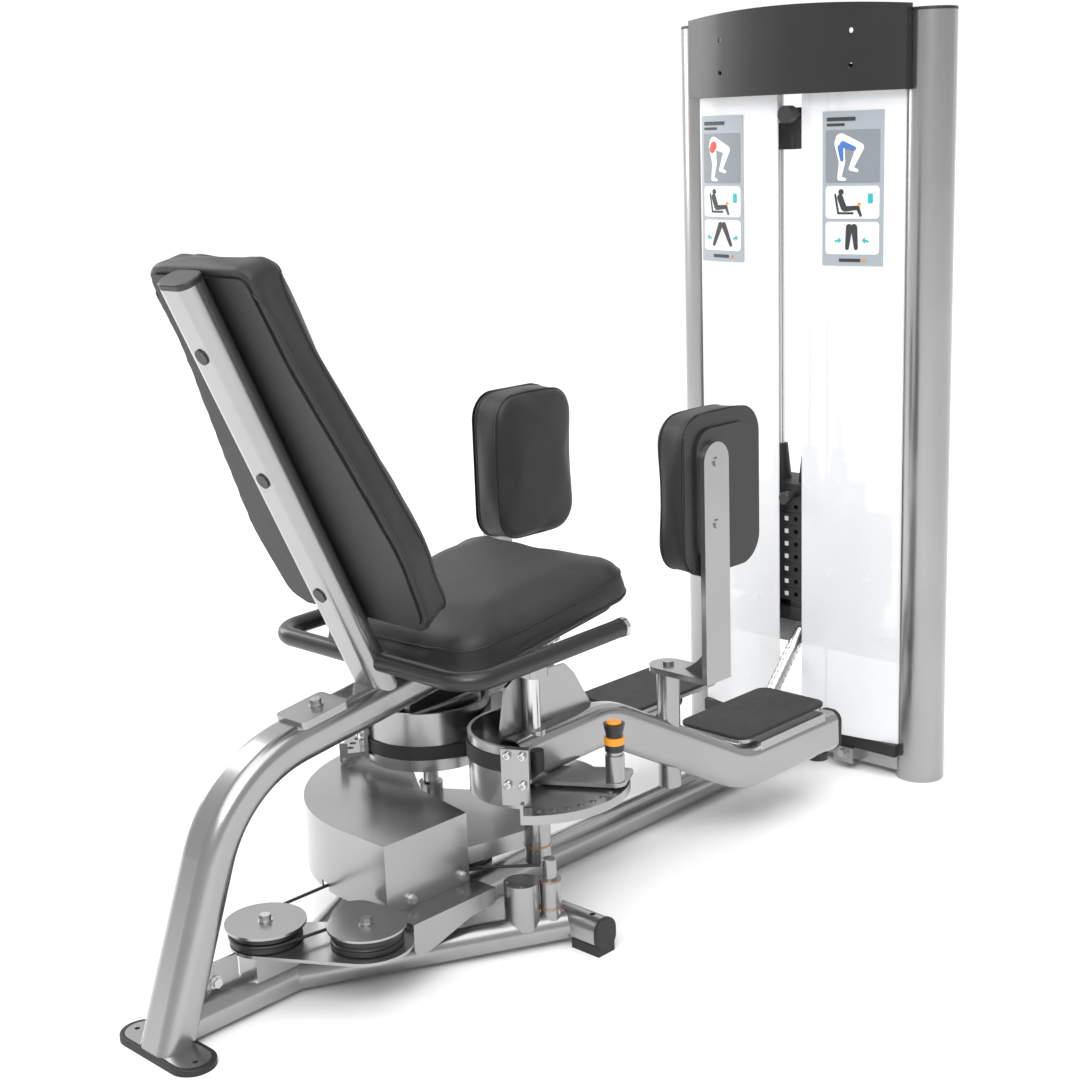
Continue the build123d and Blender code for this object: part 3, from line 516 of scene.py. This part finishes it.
def placard_prints():
    """Generic exercise diagrams: no words, only bars, figures and arrows."""
    titles, slates, lights, whites, darks, teals, oranges = [], [], [], [], [], [], []
    top = PLACARD_TOP
    for (x0, x1), apart in ((ABDUCTION_PLACARD, True), (ADDUCTION_PLACARD, False)):
        mid = (x0 + x1) / 2
        titles.append(panel((x0 + 9, x0 + 68), (top - 18, top - 11), 1.5))
        titles.append(panel((x0 + 9, x0 + 46), (top - 27, top - 22), 1.5))
        slates.append(panel((x0 + 7, x1 - 7), (top - 130, top - 34), 3))
        lights.append(panel((x0 + 7, x1 - 7), (top - 196, top - 136), 7))
        lights.append(panel((x0 + 7, x1 - 7), (top - 262, top - 202), 7))
        # White legs in side view, one knee raised.
        hip, knee, ankle = (mid - 22, top - 52), (mid + 16, top - 66), (mid - 2, top - 104)
        whites += [limb(hip, knee, 12, 8), limb(knee, ankle, 8, 4.5)]
        whites.append(limb(ankle, (mid + 10, top - 108), 4, 3))
        hip, knee, ankle = (mid - 26, top - 58), (mid - 20, top - 92), (mid - 26, top - 122)
        whites += [limb(hip, knee, 10, 6.5), limb(knee, ankle, 6.5, 4)]
        whites.append(limb(ankle, (mid - 14, top - 124), 4, 2.5))
        # Dark figure seated in side view: head, trunk, thigh, shin, then the chair's back and seat.
        darks.append(disc(mid - 22, top - 147, 5.5))
        darks.append(limb((mid - 24, top - 157), (mid - 16, top - 176), 6, 6))
        darks.append(limb((mid - 14, top - 178), (mid + 12, top - 176), 5, 4))
        darks.append(limb((mid + 12, top - 176), (mid + 18, top - 190), 3.6, 2.6))
        darks.append(limb((mid - 34, top - 152), (mid - 28, top - 184), 2, 2))
        darks.append(limb((mid - 28, top - 186), (mid + 2, top - 186), 2, 2))
        oranges.append(disc(mid + 15, top - 170, 3.6))
        teals.append(panel((mid + 32, mid + 42), (top - 168, top - 150), 2))
        # Legs seen from above, with an arrow on each side.
        spread = 24 if apart else 9
        tail, tip = (spread + 8, spread + 20) if apart else (spread + 24, spread + 12)
        for way in (-1, 1):
            darks.append(limb((mid + way * 5, top - 212), (mid + way * spread, top - 250), 6.5, 4))
            base = mid + way * (tail + tip) / 2
            teals.append(limb((mid + way * tail, top - 238), (base, top - 236), 1.8, 1.8))
            teals.append([(base, top - 242), (mid + way * tip, top - 236), (base, top - 230)])
        titles.append(panel((mid - 26, mid + 18), (top - 276, top - 270), 2))
        oranges.append(disc(mid + 26, top - 273, 3))
    decal("placard_title_bars", titles, 0.5, print_dark)
    decal("placard_slate_panels", slates, 0.3, print_slate)
    decal("placard_light_panels", lights, 0.3, print_white)
    decal("placard_white_figures", whites, 0.8, print_light)
    decal("placard_dark_figures", darks, 0.8, print_dark)
    decal("placard_teal_marks", teals, 1.0, print_teal)
    decal("placard_orange_marks", oranges, 1.1, orange)
    decal("placard_red_mark", [disc(-195, top - 58, 9), disc(-199, top - 64, 8)], 1.1, print_red)
    thighs = [limb((118, top - 60), (141, top - 68), 6, 4), limb((113, top - 66), (116, top - 88), 6, 3.5)]
    decal("placard_blue_marks", thighs, 1.1, print_blue)


def stack_marks():
    """A plain white tick beside each plate's pin hole."""
    ticks = []
    for k in range(PLATE_COUNT):
        z = PLATE_BOTTOM + k * PLATE_PITCH + 12.7
        ticks.append(panel((-27, -18), (z - 4.5, z + 4.5), 1.2))
    decal("stack_plate_ticks", ticks, 0.15, print_white, flat=PLATE_FRONT_Y)


finish_cad_nodes()
for side, _ in SIDES:
    nodes[f"{side}_arm_rubber"].material_slots[0].material = tread
nodes["pad_boards"].material_slots[0].material = piping_vinyl
placard_prints()
stack_marks()
seat_cushion()
back_cushion()
thigh_cushions()
clamp_screws()
pop_pin_rings()


# ---- studio ----------------------------------------------------------------------------------

def floor():
    mesh = bpy.data.meshes.new("studio_floor")
    shape = bmesh.new()
    bmesh.ops.create_grid(shape, x_segments=2, y_segments=2, size=60)
    shape.to_mesh(mesh)
    shape.free()
    ground = link("studio_floor", mesh)
    ground.location.z = cad_box[0][2]
    paper = surface("studio_paper", (0.90, 0.90, 0.90), (0.92, 0.92, 0.92), (0.8, 0.9), grain=4)
    mesh.materials.append(paper)


def area_light(name, place, target, power, size):
    lamp = bpy.data.lights.new(name, "AREA")
    lamp.energy = power
    lamp.shape = "RECTANGLE"
    lamp.size, lamp.size_y = size
    holder = bpy.data.objects.new(name, lamp)
    bpy.context.scene.collection.objects.link(holder)
    holder.location = place
    holder.rotation_euler = (Vector(target) - Vector(place)).to_track_quat("-Z", "Y").to_euler()


def sky():
    """A white backdrop ahead of the camera that darkens behind it, so that the tubes keep their contrast."""
    world = bpy.data.worlds.new("studio")
    bpy.context.scene.world = world
    world.use_nodes = True
    tree = world.node_tree
    background = tree.nodes["Background"]
    place = tree.nodes.new("ShaderNodeTexCoord")
    ahead = tree.nodes.new("ShaderNodeVectorMath")
    ahead.operation = "DOT_PRODUCT"
    ahead.inputs[1].default_value = (-0.66, 0.68, -0.30)
    fade = tree.nodes.new("ShaderNodeValToRGB")
    fade.color_ramp.elements[0].position = 0.0
    fade.color_ramp.elements[0].color = (0.58, 0.58, 0.585, 1)
    fade.color_ramp.elements[1].position = 0.55
    fade.color_ramp.elements[1].color = (1, 1, 1, 1)
    tree.links.new(place.outputs["Generated"], ahead.inputs[0])
    tree.links.new(ahead.outputs["Value"], fade.inputs["Fac"])
    tree.links.new(fade.outputs["Color"], background.inputs["Color"])
    background.inputs["Strength"].default_value = 1.05


def sun():
    """Broad even light that keeps the floor white out to the horizon."""
    lamp = bpy.data.lights.new("sun", "SUN")
    lamp.energy = 2.2
    lamp.angle = radians(70)
    holder = bpy.data.objects.new("sun", lamp)
    bpy.context.scene.collection.objects.link(holder)
    holder.rotation_euler = (radians(18), radians(14), 0)


def camera():
    """The photograph's camera: 57.6 mm on a 36 mm sensor, turned 44 degrees, 13.5 down, rolled 2."""
    yaw, pitch, roll = radians(44.2517), radians(13.4769), radians(2.0863)
    forward = Vector((-sin(yaw) * cos(pitch), cos(yaw) * cos(pitch), -sin(pitch)))
    right = Vector((cos(yaw), sin(yaw), 0))
    down = forward.cross(right)
    across = right * cos(roll) + down * sin(roll)
    below = -right * sin(roll) + down * cos(roll)
    lens = bpy.data.cameras.new("camera")
    lens.lens = 57.62
    lens.sensor_width = 36
    holder = bpy.data.objects.new("camera", lens)
    bpy.context.scene.collection.objects.link(holder)
    turned = Matrix((across, -below, -forward)).transposed().to_4x4()
    holder.matrix_world = Matrix.Translation(at(1988.96, -1230.85, 1283.80)) @ turned
    bpy.context.scene.camera = holder


floor()
sky()
sun()
area_light("key", (2.5, -3.2, 3.6), (0, 0, 0.6), 95, (2.2, 1.6))
area_light("side", (-3.6, -0.6, 2.2), (0, 0, 0.7), 60, (1.2, 2.6))
camera()
bpy.context.scene.view_settings.view_transform = "Standard"
